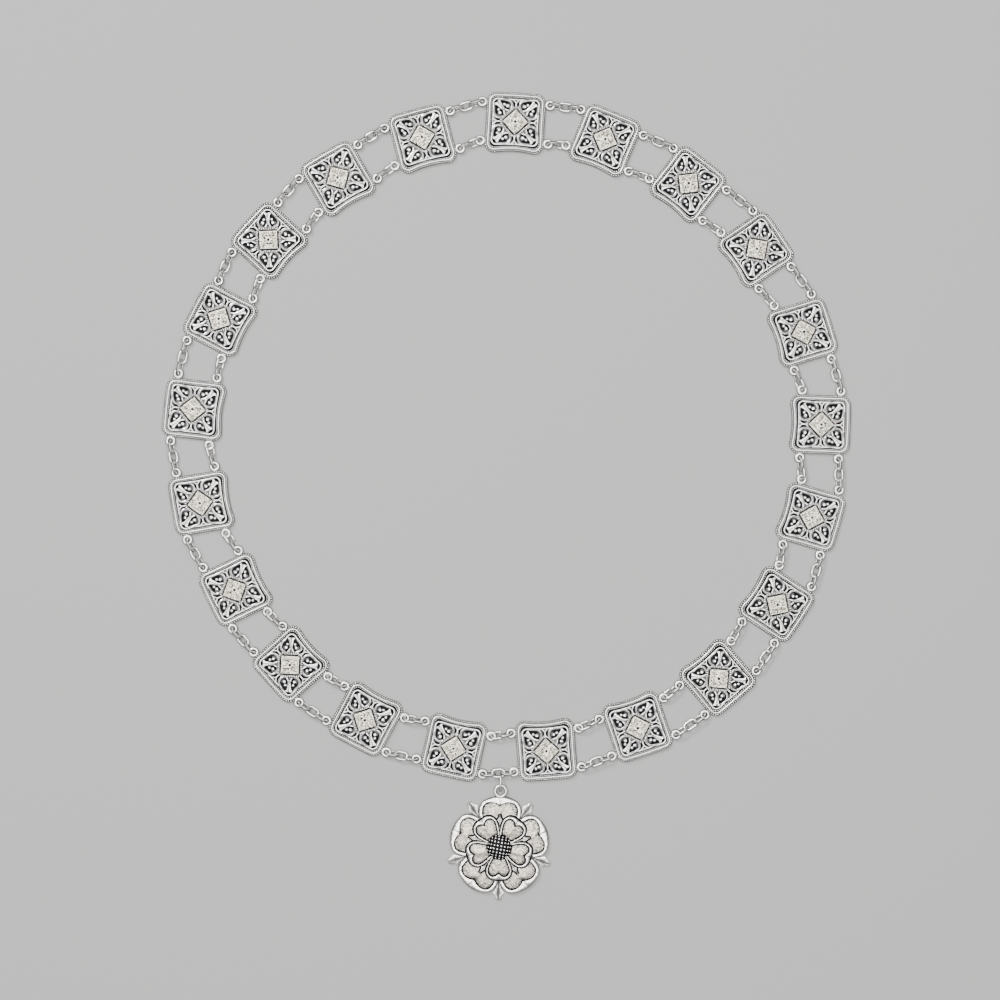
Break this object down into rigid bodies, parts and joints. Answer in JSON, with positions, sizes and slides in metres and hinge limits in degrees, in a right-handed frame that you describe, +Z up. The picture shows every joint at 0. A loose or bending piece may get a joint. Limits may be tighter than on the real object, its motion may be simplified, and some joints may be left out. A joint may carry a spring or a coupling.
{
  "type": "livery collar",
  "caption": "Ceremonial collar of square pierced silver plaques linked by twin chain strands into a ring, with a double rose pendant, lying flat.",
  "frame": {"origin": "middle of the collar's box, on the surface that it lies on", "axes": "+Z up out of the surface, +Y from the rose pendant across the ring to the top plaque, +X to the right seen from above"},
  "size_m": [0.3515, 0.4122, 0.007],
  "materials": {
    "antique_silver": "polished ridges with blackened recesses",
    "dark_silver": "stippled satin fields, polished rims and blackened recesses"
  },
  "bodies": {
    "root": {"plaque_01": "antique_silver", "outer_strand_01": "antique_silver", "plaque_02": "antique_silver", "outer_strand_02": "antique_silver", "plaque_03": "antique_silver", "outer_strand_03": "antique_silver", "plaque_04": "antique_silver", "outer_strand_04": "antique_silver", "plaque_05": "antique_silver", "outer_strand_05": "antique_silver", "plaque_06": "antique_silver", "outer_strand_06": "antique_silver", "plaque_07": "antique_silver", "outer_strand_07": "antique_silver", "plaque_08": "antique_silver", "outer_strand_08": "antique_silver", "plaque_09": "antique_silver", "outer_strand_09": "antique_silver", "plaque_10": "antique_silver", "outer_strand_10": "antique_silver", "plaque_11": "antique_silver", "plaque_12": "antique_silver", "outer_strand_12": "antique_silver", "plaque_13": "antique_silver", "outer_strand_13": "antique_silver", "plaque_14": "antique_silver", "outer_strand_14": "antique_silver", "plaque_15": "antique_silver", "outer_strand_15": "antique_silver", "plaque_16": "antique_silver", "outer_strand_16": "antique_silver", "plaque_17": "antique_silver", "outer_strand_17": "antique_silver", "plaque_18": "antique_silver", "outer_strand_18": "antique_silver", "plaque_19": "antique_silver", "outer_strand_19": "antique_silver", "plaque_20": "antique_silver", "outer_strand_20": "antique_silver", "plaque_21": "antique_silver", "outer_strand_21": "antique_silver", "pendant_strand": "antique_silver", "jump_ring": "antique_silver", "rose_pendant": "dark_silver"}
  },
  "joints": []
}
